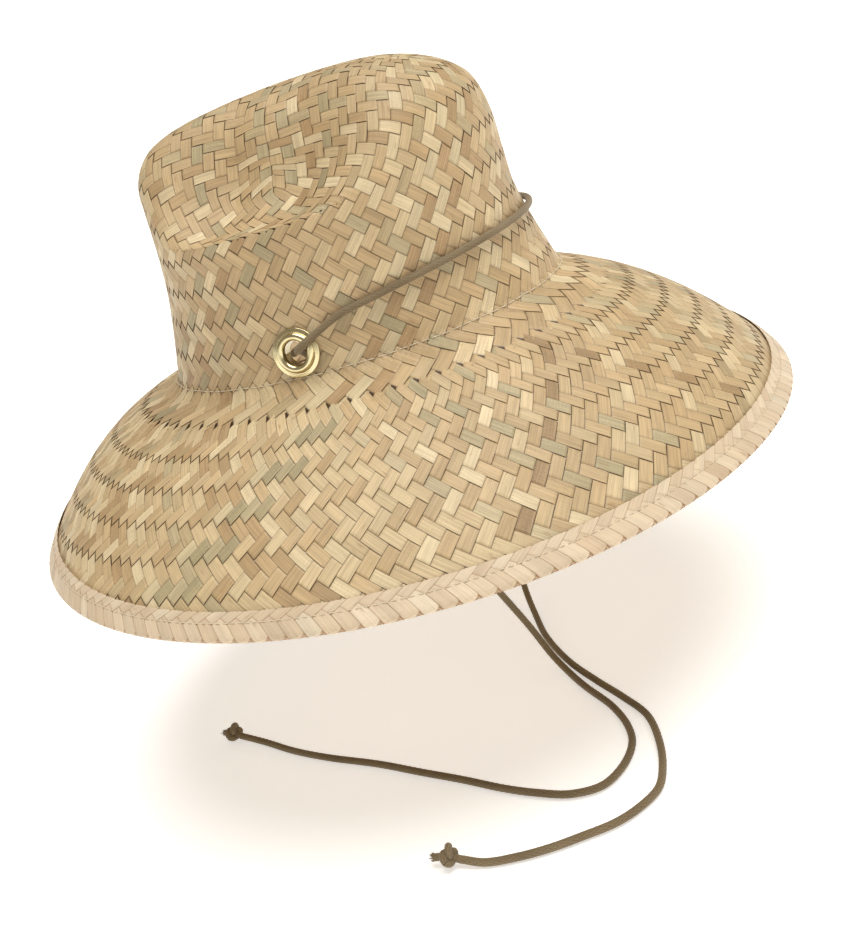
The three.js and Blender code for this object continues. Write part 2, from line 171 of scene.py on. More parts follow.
class Meridians:
    """Turns millimetres along a surface's meridian into the surface's own parameter."""

    def __init__(self, surface):
        self.th = np.linspace(0, TURN, 361)
        self.t = np.linspace(0, 1, 401)
        p = surface(self.th[:, None], self.t[None, :])
        step = np.linalg.norm(np.diff(p, axis=1), axis=-1)
        along = np.concatenate([np.zeros((len(self.th), 1)), np.cumsum(step, axis=1)], axis=1)
        self.length = along[:, -1]
        share = along / self.length[:, None]
        self.table = np.array([np.interp(self.t, row, self.t) for row in share])

    def total(self, th):
        """Length of the meridian at angle th."""
        return np.interp(th % TURN, self.th, self.length)

    def parameter(self, th, share):
        """The surface's parameter at this share, 0 to 1, of the meridian's length."""
        a = (th % TURN) / TURN * (len(self.th) - 1)
        b = np.clip(share, 0, 1) * (len(self.t) - 1)
        return looked_up(self.table, a, b)


crown_lines = Meridians(crown_point)
blocked_lines = Meridians(lambda th, t: crown_point(th, t, 0.0))  # before the sides were dented
brim_lines = Meridians(brim_point)


def wall_parameter(th, z):
    """The crown's parameter t on its wall at height z."""
    t = np.linspace(0, WALL_SHARE, 400)
    rows = crown_point(np.atleast_1d(th)[:, None], t[None, :])[..., 2]
    return np.array([np.interp(height, row, t) for height, row in zip(np.broadcast_to(z, len(rows)), rows)])


def wall_point(th, z, depth):
    """Point on the crown wall at height z, `depth` outside its outer surface."""
    th = np.atleast_1d(np.asarray(th, float))
    t = wall_parameter(th, z)
    return crown_point(th, t) + np.asarray(depth, float)[..., None] * normal_of(crown_point, th, t)


# ---- mesh helpers ----
def add_object(name, data):
    made = bpy.data.objects.new(name, data)
    bpy.context.scene.collection.objects.link(made)
    return made


class Build:
    """Collects points, faces and per-point values for one mesh."""

    def __init__(self):
        self.points, self.faces, self.flat, self.values = [], [], [], {}
        self.count = 0

    def add(self, points, faces, flat=False, **values):
        """points in millimetres; faces index them; flat says whether they are shaded flat."""
        self.points.append(np.asarray(points, float).reshape(-1, 3))
        self.faces.extend([[i + self.count for i in f] for f in faces])
        self.flat.extend([flat] * len(faces))
        for name, value in values.items():
            self.values.setdefault(name, []).append(np.asarray(value, float))
        self.count += len(self.points[-1])

    def drop(self, inside):
        """Leaves out every face with a point for which inside(points) is true."""
        hit = inside(np.concatenate(self.points))
        kept = [k for k, f in enumerate(self.faces) if not any(hit[i] for i in f)]
        self.faces = [self.faces[k] for k in kept]
        self.flat = [self.flat[k] for k in kept]

    def finish(self, name, material, slot, *replaced):
        """Makes the piece from the points in use, with its faces turned outwards."""
        points = np.concatenate(self.points)
        used = np.unique(np.concatenate([np.asarray(f) for f in self.faces]))
        order = np.full(len(points), -1)
        order[used] = np.arange(len(used))
        faces = [[int(order[i]) for i in f] for f in self.faces]
        mesh = bpy.data.meshes.new(name)
        mesh.from_pydata((points[used] * MM).tolist(), [], faces)
        mesh.polygons.foreach_set("use_smooth", [not x for x in self.flat])
        for key, rows in self.values.items():
            data = np.concatenate(rows)[used].astype(np.float32)
            kind = "FLOAT" if data.ndim == 1 else "FLOAT_VECTOR"
            attribute = mesh.attributes.new(key, kind, "POINT")
            attribute.data.foreach_set("value" if data.ndim == 1 else "vector", data.ravel())
        mesh.materials.append(material)
        shape = bmesh.new()
        shape.from_mesh(mesh)
        bmesh.ops.recalc_face_normals(shape, faces=shape.faces)
        shape.to_mesh(mesh)
        shape.free()
        piece = add_object(name, mesh)
        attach(piece, "root")
        if replaced:
            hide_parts(*replaced)
        return piece


def angles_round(count):
    return TURN * np.arange(count) / count


def side_by_side(*columns):
    """Values of the same points, as rows of one array."""
    return np.stack(np.broadcast_arrays(*columns), -1).reshape(-1, len(columns))


def loft_faces(rows, columns, closed_rows=False, caps=False):
    """Quads between `rows` rings of `columns` points each."""
    faces = []
    for i in range(rows if closed_rows else rows - 1):
        for j in range(columns):
            a, b = i * columns, ((i + 1) % rows) * columns
            k = (j + 1) % columns
            faces.append([a + j, b + j, b + k, a + k])
    if caps:
        faces.append(list(range(columns)))
        faces.append([(rows - 1) * columns + j for j in reversed(range(columns))])
    return faces


# ---- materials ----
def srgb(r, g, b):
    """A linear colour from screen values of 0 to 255, none of them near black."""
    return [((c / 255 + 0.055) / 1.055) ** 2.4 for c in (r, g, b)] + [1.0]


class Nodes:
    """A node tree with short calls for the nodes used here."""

    def __init__(self, tree):
        self.tree = tree

    def fill(self, node, inputs):
        """Links each input to a socket, or sets it to a value; None leaves it as it is."""
        for key, value in inputs.items():
            if isinstance(value, bpy.types.NodeSocket):
                self.tree.links.new(value, node.inputs[key])
            elif value is not None:
                node.inputs[key].default_value = value
        return node

    def node(self, kind, inputs=None, **settings):
        made = self.tree.nodes.new("ShaderNode" + kind)
        for key, value in settings.items():
            setattr(made, key, value)
        return self.fill(made, inputs or {})

    def math(self, operation, a, b=0.0):
        return self.node("Math", {0: a, 1: b}, operation=operation).outputs[0]

    def times(self, a, b):
        return self.math("MULTIPLY", a, b)

    def ranged(self, value, low, high, out_low, out_high):
        """value, taken from the range low to high into the range out_low to out_high."""
        limits = {"From Min": low, "From Max": high, "To Min": out_low, "To Max": out_high}
        return self.node("MapRange", {"Value": value, **limits}).outputs[0]

    def place(self, kind="Object"):
        return self.node("TexCoord").outputs[kind]

    def split(self, vector):
        return self.node("SeparateXYZ", {0: vector}).outputs[:3]

    def noise(self, vector, scale=1.0, detail=2.0, roughness=0.5):
        inputs = {"Vector": vector, "Scale": scale, "Detail": detail, "Roughness": roughness}
        return self.node("TexNoise", inputs).outputs["Fac"]

    def streaks(self, x, y, scales, seed, detail, roughness=0.5):
        """Noise over two sockets, each with a scale of its own."""
        inputs = {0: self.times(x, scales[0]), 1: self.times(y, scales[1]), 2: seed}
        return self.noise(self.node("CombineXYZ", inputs).outputs[0], 1.0, detail, roughness)

    def ramp(self, value, stops):
        made = self.node("ValToRGB", {"Fac": value})
        while len(made.color_ramp.elements) < len(stops):
            made.color_ramp.elements.new(0.5)
        for element, (place, color) in zip(made.color_ramp.elements, stops):
            element.position = place
            element.color = color
        return made.outputs["Color"]

    def mix(self, factor, a, b, blend="MIX"):
        made = self.node("Mix", {0: factor, 6: a, 7: b}, data_type="RGBA", blend_type=blend)
        return made.outputs[2]

    def scaled(self, color, value, *limits):
        """The colour times value, ranged between the limits."""
        value = self.ranged(value, *limits)
        grey = self.node("CombineColor", {0: value, 1: value, 2: value}).outputs[0]
        return self.mix(1.0, color, grey, "MULTIPLY")

    def bump(self, height, strength, distance):
        inputs = {"Height": height, "Strength": strength, "Distance": distance}
        return self.node("Bump", inputs).outputs[0]


class Shader(Nodes):
    """The nodes of one material."""

    def __init__(self, name, roughness, metallic=0.0, specular=0.5, sheen=0.0):
        self.material = bpy.data.materials.new(name)
        self.material.use_nodes = True
        super().__init__(self.material.node_tree)
        self.bsdf = self.tree.nodes["Principled BSDF"]
        self.fill(self.bsdf, {"Roughness": roughness, "Metallic": metallic})
        self.fill(self.bsdf, {"Specular IOR Level": specular, "Sheen Weight": sheen})

    def fibre(self):
        """The three values of "fibre", which is made with the points."""
        return self.split(self.node("Attribute", attribute_name="fibre").outputs["Vector"])

    def finish(self, color, roughness=None, normal=None):
        self.fill(self.bsdf, {"Base Color": color, "Roughness": roughness, "Normal": normal})
        return self.material


STRIP_HALF = 2.9  # half the width of a strip


def palm_material(name, leaf_colors, shadow, grain):
    """Palm strips: one tint per strip, fibres along it, painted shade at its edges and dives.

    Reads two values made with the strips: "fibre" (millimetres along, -1 to 1 across, strip
    number) and the painted shade of its dives (0 on the face that shows, 1 where another strip covers it).
    """
    s = Shader(name, 0.55, specular=0.4)
    along, side, strip = s.fibre()
    across = s.times(side, STRIP_HALF)
    dive = s.node("Attribute", attribute_name="dive").outputs["Fac"]
    leaf = s.node("TexWhiteNoise", {"W": strip}, noise_dimensions="1D").outputs["Value"]
    color = s.ramp(leaf, leaf_colors)
    slow = s.streaks(along, across, (0.02, 0.05), strip, 3)
    color = s.scaled(color, slow, 0.3, 0.7, 0.84, 1.08)
    far = s.times(strip, 7.3)
    fine = s.streaks(along, across, (0.06, 3.4), far, 3, 0.6)
    veins = s.streaks(along, across, (0.03, 1.3), far, 1)
    color = s.scaled(color, fine, 0.3, 0.7, 1 - grain, 1 + grain * 0.7)
    color = s.scaled(color, veins, 0.35, 0.6, 1 - grain * 0.8, 1.03)
    spots = s.streaks(along, across, (0.12, 0.5), far, 2)
    color = s.mix(s.ranged(spots, 0.64, 0.8, 0.0, 0.45), color, srgb(140, 96, 54))
    # Painted shade along both edges of every strip, in the gaps between strips.
    rim_shade = s.ranged(s.math("ABSOLUTE", side), 0.9, 1.0, 0.0, 0.42)
    color = s.mix(rim_shade, color, shadow)
    # Painted shade where the strip dives under another, and on inner faces that lie covered.
    color = s.mix(s.ranged(dive, 0.3, 0.58, 0.0, 0.97), color, shadow)
    height = s.math("ADD", fine, s.times(veins, 0.8))
    return s.finish(color, s.ranged(fine, 0.3, 0.7, 0.62, 0.45), s.bump(height, 0.35, 0.00025))


# Tints of the strips: each strip takes one at random, from its place between 0 and 1.
STRAW_LEAVES = [
    (0.0, srgb(174, 143, 102)), (0.14, srgb(203, 176, 133)), (0.28, srgb(188, 160, 117)),
    (0.42, srgb(217, 195, 153)), (0.55, srgb(196, 168, 126)), (0.67, srgb(182, 156, 114)),
    (0.79, srgb(226, 206, 166)), (0.91, srgb(166, 153, 117)), (0.95, srgb(182, 164, 125)),
    (1.0, srgb(156, 127, 89)),
]
BINDING_LEAVES = [
    (0.0, srgb(208, 186, 156)), (0.4, srgb(217, 198, 169)),
    (0.75, srgb(202, 178, 147)), (1.0, srgb(222, 206, 179)),
]


def cloth_material():
    """Plain-woven cotton: reads "fibre" (mm round, mm down)."""
    s = Shader("sweatband_cotton", 0.9, specular=0.2, sheen=0.15)
    x, y, _ = s.fibre()
    warp = s.math("SINE", s.times(x, 7.0))
    weft = s.math("SINE", s.times(y, 7.0))
    threads = s.times(warp, weft)
    cloudy = s.streaks(x, y, (0.05, 0.12), 0.0, 4)
    color = s.ramp(cloudy, [(0.3, srgb(168, 150, 118)), (0.7, srgb(192, 176, 144))])
    color = s.scaled(color, threads, -1, 1, 0.86, 1.06)
    return s.finish(color, None, s.bump(threads, 0.5, 0.0002))


def thread_material():
    """Plied thread: reads "fibre" (mm along, mm round)."""
    s = Shader("stitch_thread", 0.75, specular=0.3, sheen=0.1)
    x, y, _ = s.fibre()
    ply = s.math("SINE", s.math("ADD", s.times(x, 9.0), s.times(y, 2.0)))
    color = s.ramp(s.ranged(ply, -1, 1, 0, 1), [(0.0, srgb(196, 178, 146)), (1.0, srgb(236, 226, 204))])
    return s.finish(color, None, s.bump(ply, 0.4, 0.0001))


def cord_material():
    """Braided cord: reads "fibre" (mm along, mm round, strand height 0 to 1)."""
    s = Shader("chin_cord_braid", 0.82, specular=0.25, sheen=0.2)
    x, y, height = s.fibre()
    fuzz = s.streaks(x, y, (2.2, 2.2), 0.0, 4, 0.7)
    slow = s.streaks(x, y, (0.03, 0.08), 3.0, 2)
    color = s.mix(s.ranged(slow, 0.3, 0.7, 0.0, 1.0), srgb(120, 103, 76), srgb(142, 125, 96))
    # Painted shade: darker where the strand is low, in the grooves between strands.
    color = s.scaled(color, height, 0.0, 1.0, 0.55, 1.08)
    color = s.scaled(color, fuzz, 0.3, 0.7, 0.86, 1.12)
    return s.finish(color, None, s.bump(fuzz, 0.4, 0.00015))


def brass_material():
    s = Shader("grommet_brass", 0.2, metallic=1.0)
    place = s.place()
    worn = s.noise(place, 420.0, 4, 0.6)
    smudge = s.noise(place, 120.0, 2, 0.5)
    color = s.ramp(smudge, [(0.3, srgb(206, 190, 142)), (0.7, srgb(226, 214, 172))])
    color = s.scaled(color, worn, 0.3, 0.7, 0.93, 1.03)
    return s.finish(color, s.ranged(worn, 0.3, 0.75, 0.14, 0.3), s.bump(worn, 0.06, 0.0001))


def wire_material():
    s = Shader("edge_wire_steel", 0.35, metallic=1.0)
    place = s.place()
    drawn = s.noise(place, 900.0, 3, 0.6)
    color = s.ramp(drawn, [(0.3, srgb(150, 150, 148)), (0.7, srgb(190, 190, 188))])
    return s.finish(color, s.ranged(drawn, 0.3, 0.7, 0.25, 0.45), s.bump(drawn, 0.1, 0.0001))


def floor_material():
    """Pale paper, with a little light of its own so that the hat's shadow stays faint."""
    s = Shader("studio_floor", 0.9, specular=0.1)
    cloudy = s.noise(s.place(), 6.0, 4, 0.5)
    s.fill(s.bsdf, {"Emission Color": (1, 1, 1, 1), "Emission Strength": 0.5})
    return s.finish(s.ramp(cloudy, [(0.2, srgb(240, 239, 237)), (0.8, srgb(246, 246, 244))]))


# ---- camera, light and floor ----
CAMERA_TURN = (-66.0, 16.07, -19.61)  # azimuth, elevation and roll, in degrees
CAMERA_PLACE = (-0.6022, -0.2684, 0.1465)  # metres
CAMERA_SHIFT = (0.030, -0.082)
BACKDROP_TOP, BACKDROP_FADE = 0.13, 0.05  # sine of where the white backdrop ends, and its fade
BACKDROP_WHITE = (1, 1, 1, 1)
ROOM_ABOVE = (0.32, 0.285, 0.24, 1)  # dim and warm, so that the sun shapes the hat
FLOOR_HALF = 12.0  # metres, past where the camera sees it end
FLOOR_DROP = 0.7  # below FLOOR_Z, clear of the cords


def make_camera():
    azimuth, elevation, roll = (math.radians(v) for v in CAMERA_TURN)
    back = Vector((
        math.sin(azimuth) * math.cos(elevation),
        -math.cos(azimuth) * math.cos(elevation),
        math.sin(elevation),
    ))
    level = Vector((math.cos(azimuth), math.sin(azimuth), 0))
    upright = back.cross(level)
    right = level * math.cos(roll) + upright * math.sin(roll)
    up = upright * math.cos(roll) - level * math.sin(roll)
    data = bpy.data.cameras.new("camera")
    data.lens, data.sensor_width = 50.0, 36.0
    data.shift_x, data.shift_y = CAMERA_SHIFT
    camera = add_object("camera", data)
    rows = [(right[k], up[k], back[k], CAMERA_PLACE[k]) for k in range(3)]
    camera.matrix_world = Matrix((*rows, (0, 0, 0, 1)))
    bpy.context.scene.camera = camera


def soft_sun(name, towards, spread, strength):
    data = bpy.data.lights.new(name, "SUN")
    data.angle, data.energy = math.radians(spread), strength
    lamp = add_object(name, data)
    lamp.rotation_euler = Vector(towards).to_track_quat("Z", "Y").to_euler()


def make_world():
    """A white backdrop all round the horizon, under a dimmer room."""
    world = bpy.data.worlds.new("studio")
    world.use_nodes = True
    nodes = Nodes(world.node_tree)
    height = nodes.split(nodes.place("Generated"))[2]
    stops = [(BACKDROP_TOP, BACKDROP_WHITE), (BACKDROP_TOP + BACKDROP_FADE, ROOM_ABOVE)]
    nodes.fill(nodes.tree.nodes["Background"], {"Color": nodes.ramp(height, stops), "Strength": 1.0})
    bpy.context.scene.world = world


def make_floor():
    mesh = bpy.data.meshes.new("floor")
    half, z = FLOOR_HALF, (FLOOR_Z - FLOOR_DROP) * MM
    corners = [(-half, -half, z), (half, -half, z), (half, half, z), (-half, half, z)]
    mesh.from_pydata(corners, [], [(0, 1, 2, 3)])
    mesh.materials.append(floor_material())
    floor = add_object("floor", mesh)


def make_studio():
    soft_sun("overhead", (0.0, -0.22, 0.95), 50, 3.0)
    make_world()
    bpy.context.scene.view_settings.view_transform = "Standard"
    make_floor()


# ---- cord ----
def grommet_frame(side):
    """Origin and axes (forward, up, out) of a grommet; side is -1 on the wearer's right."""
    th = np.array([side * math.pi / 2])
    t = wall_parameter(th, GROMMET_Z)
    out = normal_of(crown_point, th, t)[0]
    forward = np.array([0.0, -1.0, 0.0])
    up = unit(np.cross(forward, out) * side)
    return crown_point(th, t)[0], forward, up, out


CORD_FRONT_Z = 33.5  # height of the cord at the front of the crown
CORD_ARCH = 2.2  # how flat its arch is: 2 would be an ellipse
CORD_LIFT = 0.6  # off the straw
# Out of a grommet and past its roll: millimetres forward, up and out from its centre.
MOUTH = [(1.2, 0.3, -0.6), (2.8, 1.2, 4.4), (7.2, 3.4, 6.1), (13.0, 6.2, 4.6)]
LIE_Z = FLOOR_Z + CORD_RADIUS
END_Z = LIE_Z + 1.6  # the knot lifts the last of the cord
# Each loose end hangs from its grommet through the head opening, then lies on the floor.
RIGHT_HANG = [
    (-83.6, 2, 13), (-77.5, 2.2, 12.2), (-73, 0.6, 7.5), (-71, -3, -4), (-64, -17, -60),
    (-52, -34, -120), (-41.5, -47, -165), (-42, -54, -183),
]
RIGHT_LIE = [
    (-50, -62), (-66, -74), (-86, -91), (-103, -101), (-117, -105), (-133, -103), (-145, -96),
    (-149, -83), (-146, -66), (-141, -50), (-132, -28), (-123, -4), (-113, 22), (-103, 54),
    (-94, 77), (-83, 99), (-77, 116),
]
LEFT_HANG = [
    (83.6, 2, 13), (77.5, 2.2, 12.2), (73, 0.6, 7.5), (71.5, -3, -4), (68, -7, -60),
    (58, -13, -120), (44, -19, -160), (27, -25, -182),
]
LEFT_LIE = [
    (10, -32.5), (-13, -43), (-41, -61), (-63, -80), (-79, -95), (-96, -109), (-116, -117),
    (-135, -121), (-150, -121), (-161, -115), (-170, -106), (-177, -93), (-183, -80), (-187, -67),
    (-189, -53), (-188, -42),
]


def cord_height(turn):
    """Height of the cord on the wall, `turn` degrees from the front."""
    return GROMMET_Z + (CORD_FRONT_Z - GROMMET_Z) * math.sqrt(1 - (abs(turn) / 90) ** CORD_ARCH)


def band_points():
    """The stretch across the front, out of one grommet, over its roll and into the other."""
    last_turn, half = 76, 8
    turns = [last_turn * k / half for k in range(-half, half + 1)]
    depth = CORD_RADIUS + CORD_LIFT
    middle = [wall_point(math.radians(turn), cord_height(turn), depth)[0] for turn in turns]
    mouths = {}
    for side in (-1, 1):
        origin, forward, up, out = grommet_frame(side)
        mouths[side] = [origin + f * forward + u * up + o * out for f, u, o in MOUTH]
    return mouths[-1] + middle + mouths[1][::-1]


def catmull_rom(points, step):
    """Centripetal Catmull-Rom curve through the points, resampled every `step` millimetres."""
    p = np.array(points, float)
    p = np.concatenate([[2 * p[0] - p[1]], p, [2 * p[-1] - p[-2]]])
    gaps = np.linalg.norm(np.diff(p, axis=0), axis=1) ** 0.5
    u = np.linspace(0, 1, 60, endpoint=False)[:, None]
    line = []
    for k in range(1, len(p) - 2):
        d0, d1, d2 = gaps[k - 1], gaps[k], gaps[k + 1]
        m1 = ((p[k] - p[k - 1]) / d0 - (p[k + 1] - p[k - 1]) / (d0 + d1) + (p[k + 1] - p[k]) / d1) * d1
        m2 = ((p[k + 1] - p[k]) / d1 - (p[k + 2] - p[k]) / (d1 + d2) + (p[k + 2] - p[k + 1]) / d2) * d1
        a = 2 * p[k] - 2 * p[k + 1] + m1 + m2
        b = -3 * p[k] + 3 * p[k + 1] - 2 * m1 - m2
        line.append(a * u**3 + b * u**2 + m1 * u + p[k])
    return resampled(np.concatenate(line + [p[-2:-1]]), step)


def running(steps):
    return np.concatenate([[0], np.cumsum(steps)])


def distances(line):
    """Length along a line up to each of its points."""
    return running(np.linalg.norm(np.diff(line, axis=0), axis=1))


def resampled(line, step):
    along = distances(line)
    at = np.linspace(0, along[-1], max(2, round(along[-1] / step) + 1))
    return np.stack([np.interp(at, along, line[:, k]) for k in range(3)], axis=1)


def frames_along(line):
    """Tangent and two side directions at each point, turning as little as possible."""
    tangent = unit(np.gradient(line, axis=0))
    start = np.cross(tangent[0], [0.0, 0.0, 1.0])
    if np.linalg.norm(start) < 0.1:
        start = np.cross(tangent[0], [0.0, 1.0, 0.0])
    side = [unit(start)]
    for k in range(1, len(line)):
        side.append(unit(side[-1] - (side[-1] @ tangent[k]) * tangent[k]))
    side = np.array(side)
    return tangent, side, np.cross(tangent, side)


# A pulled knot is a trefoil across the cord: its ring, its lobes, and its height to its width.
KNOT_BIG, KNOT_SMALL, KNOT_FLAT = 2.6, 1.4, 0.85
KNOT_HEIGHT, KNOT_REACH = 5.1, 4.6  # its middle, above the floor and past the cord's last point
# The tail, along, sideways and up from the knot's middle.
TAIL_LINE = ((-5.2, 0, -1.8), (-3.0, 0, -1.2), (0, 0, 0), (3.0, 0.4, -0.2), (7.0, 0.3, -0.9))
TAIL_THREADS = 60
THREAD_RADIUS = 0.14
STRANDS = 8
BRAID_SIDES, BRAID_RELIEF = 28, 0.17
BRAID_STEP = 3.1  # millimetres along for one strand to cross the next


def tube(build, line, radius, sides, height=0.7, relief=0.0):
    """A closed tube along a line. Where its height, 0 to 1, is 0, its surface is `relief` lower."""
    _, side, up = frames_along(line)
    phi = angles_round(sides)[None, :]
    spokes = np.cos(phi)[..., None] * side[:, None] + np.sin(phi)[..., None] * up[:, None]
    reach = np.asarray(radius - relief * (1 - height))
    points = line[:, None] + reach[..., None] * spokes
    fibre = side_by_side(distances(line)[:, None], phi * radius, height)
    build.add(points, loft_faces(len(line), sides, caps=True), fibre=fibre)


def braided_tube(build, line, radius):
    """A round braid: strands wind both ways and pass over and under each other."""
    along, phi = distances(line)[:, None], angles_round(BRAID_SIDES)[None, :]
    a = along / BRAID_STEP + STRANDS / 2 * phi / math.pi
    b = along / BRAID_STEP - STRANDS / 2 * phi / math.pi
    over = (np.floor(a) + np.floor(b)) % 2 == 0
    height = np.where(over, np.abs(np.sin(math.pi * a)), np.abs(np.sin(math.pi * b)))
    tube(build, line, radius, BRAID_SIDES, height, BRAID_RELIEF)


def frayed_tail(build, start, heading, sidewise, seed):
    """The last of the cord, through the knot and out of it, where it opens into loose threads."""
    local = np.random.default_rng(seed)
    line = np.array([start + d * heading + s * sidewise + [0, 0, z] for d, s, z in TAIL_LINE])
    braided_tube(build, catmull_rom(line, 0.4), CORD_RADIUS * 0.96)
    tip, direction = line[-1], unit(line[-1] - line[-2])
    for _ in range(TAIL_THREADS):
        turn = local.uniform(0, TURN)
        out = 0.85 * CORD_RADIUS * math.sqrt(local.uniform(0, 1))
        spread = np.cos(turn) * sidewise + np.sin(turn) * np.array([0.0, 0.0, 1.0])
        root = tip - 0.8 * direction + out * spread
        reach = local.uniform(1.4, 2.6)
        bend = local.normal(0, 0.22, 3)
        splay = 0.3 * out * spread + bend
        path = np.array([root + reach * k * direction + k * k * splay for k in (0, 0.4, 0.75, 1)])
        path[:, 2] = np.maximum(path[:, 2], FLOOR_Z + THREAD_RADIUS + 0.01)
        tube(build, path, THREAD_RADIUS, 5)


def make_knot(name, line, material, replaced, seed):
    """An overhand knot pulled tight round the end of the cord, and its tail."""
    heading = line[-1] - line[-12]
    heading[2] = 0
    heading = unit(heading)
    sidewise = np.array([-heading[1], heading[0], 0.0])
    centre = line[-1] + KNOT_REACH * heading
    centre[2] = FLOOR_Z + KNOT_HEIGHT
    u = np.linspace(0, TURN, 200)
    r = KNOT_BIG + KNOT_SMALL * np.cos(3 * u)
    ahead = 0.9 * KNOT_SMALL * np.sin(3 * u)
    loop = centre + np.outer(ahead, heading) + np.outer(r * np.cos(2 * u), sidewise)
    loop[:, 2] += KNOT_FLAT * r * np.sin(2 * u)
    build = Build()
    braided_tube(build, resampled(loop, 0.4), CORD_RADIUS * 0.95)
    frayed_tail(build, centre, heading, sidewise, seed)
    return build.finish(name, material, "cord", replaced)


def make_cords():
    """The cord across the front, and its two loose ends with their knots."""
    material = cord_material()
    band = catmull_rom(band_points(), 0.5)
    build = Build()
    braided_tube(build, band, CORD_RADIUS)
    build.finish("chin_cord_front", material, "cord", "chin_cord_band")
    for word, hang, lie, seed in (("right", RIGHT_HANG, RIGHT_LIE, 3), ("left", LEFT_HANG, LEFT_LIE, 5)):
        node = f"chin_cord_{word}_end"
        heights = [LIE_Z] * (len(lie) - 1) + [END_Z]
        line = catmull_rom(hang + [(*xy, z) for xy, z in zip(lie, heights)], 0.5)
        build = Build()
        braided_tube(build, line, CORD_RADIUS)
        piece = build.finish(f"chin_cord_{word}", material, "cord", node)
        knot = make_knot(f"chin_cord_knot_{word}", line, material, f"chin_cord_{word}_knot", seed)
        float(distances(line)[-1]) * MM


# ---- weave ----
# The hat is woven from the middle of the crown outwards. LEVEL counts strip crossings from there:
# the first TOP_LEVELS open out from a square start, then the strips run at 45 degrees down the wall
# to the seam and on over the inner brim, where each strip splits in two.
TOP_LEVELS = 18
SEAM_LEVEL = 46
QUARTER = TOP_LEVELS  # strips of one direction in each quarter of the crown
AROUND = 4 * QUARTER
SPLIT_LEVEL = 49
FOOT_MARGIN = 2.5  # levels above the seam and past the split where inner faces get no painted shade
CROWN_ENDS = (50.8, 49.8)  # levels of a crown strip's two ends, under the brim's strips
CROWN_TUCK = 49.9  # from this level the crown's strips stay underneath
BRIM_STARTS = {1: 48.4, -1: 49.3}  # levels where the brim's strips start, for each direction
BRIM_TUCK = 49.6  # up to this level they stay underneath
BRIM_STOP = 78.5
# Millimetres out from the seam at a few levels of the brim; the last is past its edge.
BRIM_LEVELS = [46, 47.5, 49.5, 51.5, 91.5]
BRIM_REACH = [0, 10.5, 21.5, 34.0, 209.0]
BRIM_END = 0.975  # share of the brim's width where the weave ends, in the fold
DENT_SLIP = 0.8  # how far the crossings slid apart as the crown was dented
FOOT_BEND = 0.8  # half the bend at the seam, in crossings


class Leaf(NamedTuple):
    """Cross-section of a woven strip, in millimetres but for half, in strip spacings."""

    half: float
    thick: float
    relief: float  # above the middle of the weave where it is on top
    middle: float  # the middle of the weave, from the surface
    loose: float  # how uneven it is, 0 to 1
    columns: int  # points across it


CROWN_LEAF = Leaf(0.493, 0.3, 0.34, -0.7, 1.0, 3)
BRIM_LEAF = Leaf(0.492, 0.3, 0.34, -0.7, 1.0, 2)
BINDING_LEAF = Leaf(0.492, 0.2, 0.12, 0.0, 0.3, 4)
WOBBLE, WOBBLE_EVERY = 0.01, 6  # sideways, in strip spacings, and how many stations apart
WIDTH_SPREAD, HEIGHT_SPREAD = 0.012, 0.03  # as a share of the width, and in millimetres


def ring_point(th, level):
    """Outer surface of the hat at angle th, `level` crossings from the middle of the crown.

    The crown was woven first and dented afterwards, so in the dent the crossings lie between an
    even spread and where they were on the blocked crown.
    """
    th, level = np.broadcast_arrays(th, level)
    share = 1 - level / SEAM_LEVEL
    as_woven = blocked_lines.parameter(th, share)
    t = DENT_SLIP * crown_lines.parameter(th, share) + (1 - DENT_SLIP) * as_woven
    reach = np.interp(level, BRIM_LEVELS, BRIM_REACH) / brim_lines.total(th)
    on_brim = brim_point(th, brim_lines.parameter(th, np.minimum(reach, BRIM_END)))
    return np.where((level > SEAM_LEVEL)[..., None], on_brim, crown_point(th, t))


def bent_ring_point(th, level):
    """As ring_point, with the weave bent in a soft curve where the wall meets the brim."""
    point = ring_point(th, level)
    reach = FOOT_BEND * (1 - smooth(0.4, 1.6, np.abs(level - SEAM_LEVEL)))
    near = reach > 0
    if near.any():
        steps = [reach[near] * k / 2 for k in (-2, -1, 0, 1, 2)]
        point[near] = sum(ring_point(th[near], level[near] + step) for step in steps) / len(steps)
    return point


class Rings:
    """Spreads the strips evenly along every ring of the hat, down into the dents and out again."""

    def __init__(self):
        self.levels = np.arange(0, BRIM_LEVELS[-1] + 0.5, 0.5)
        self.shares = np.linspace(0, 1, 721)
        th = np.linspace(0, TURN, 1441)
        p = ring_point(th[None, :], np.maximum(self.levels, 0.5)[:, None])
        along = np.cumsum(np.linalg.norm(np.diff(p, axis=1), axis=-1), axis=1)
        rows = [np.interp(self.shares, np.concatenate([[0], row]) / row[-1], th) for row in along]
        self.table = np.array(rows)

    def angle(self, share, level):
        whole = np.floor(share)
        a = np.clip(level, 0, self.levels[-1]) / 0.5
        b = (share - whole) * (len(self.shares) - 1)
        return looked_up(self.table, a, b) + TURN * whole


rings = Rings()


def hat_point(turn, level):
    """Outer surface of the hat: turn is in strips round the hat (0 to AROUND), level from the top."""
    turn, level = np.broadcast_arrays(turn, level)
    return bent_ring_point(rings.angle(turn / AROUND, level), level)


def diamond_turn(x, y):
    """Turn of a point of the square start when its square rings are laid out as round ones."""
    share = y / np.maximum(np.abs(x) + np.abs(y), 1e-9)
    return QUARTER * np.where(x >= 0, share, 2 * np.sign(y) - share)


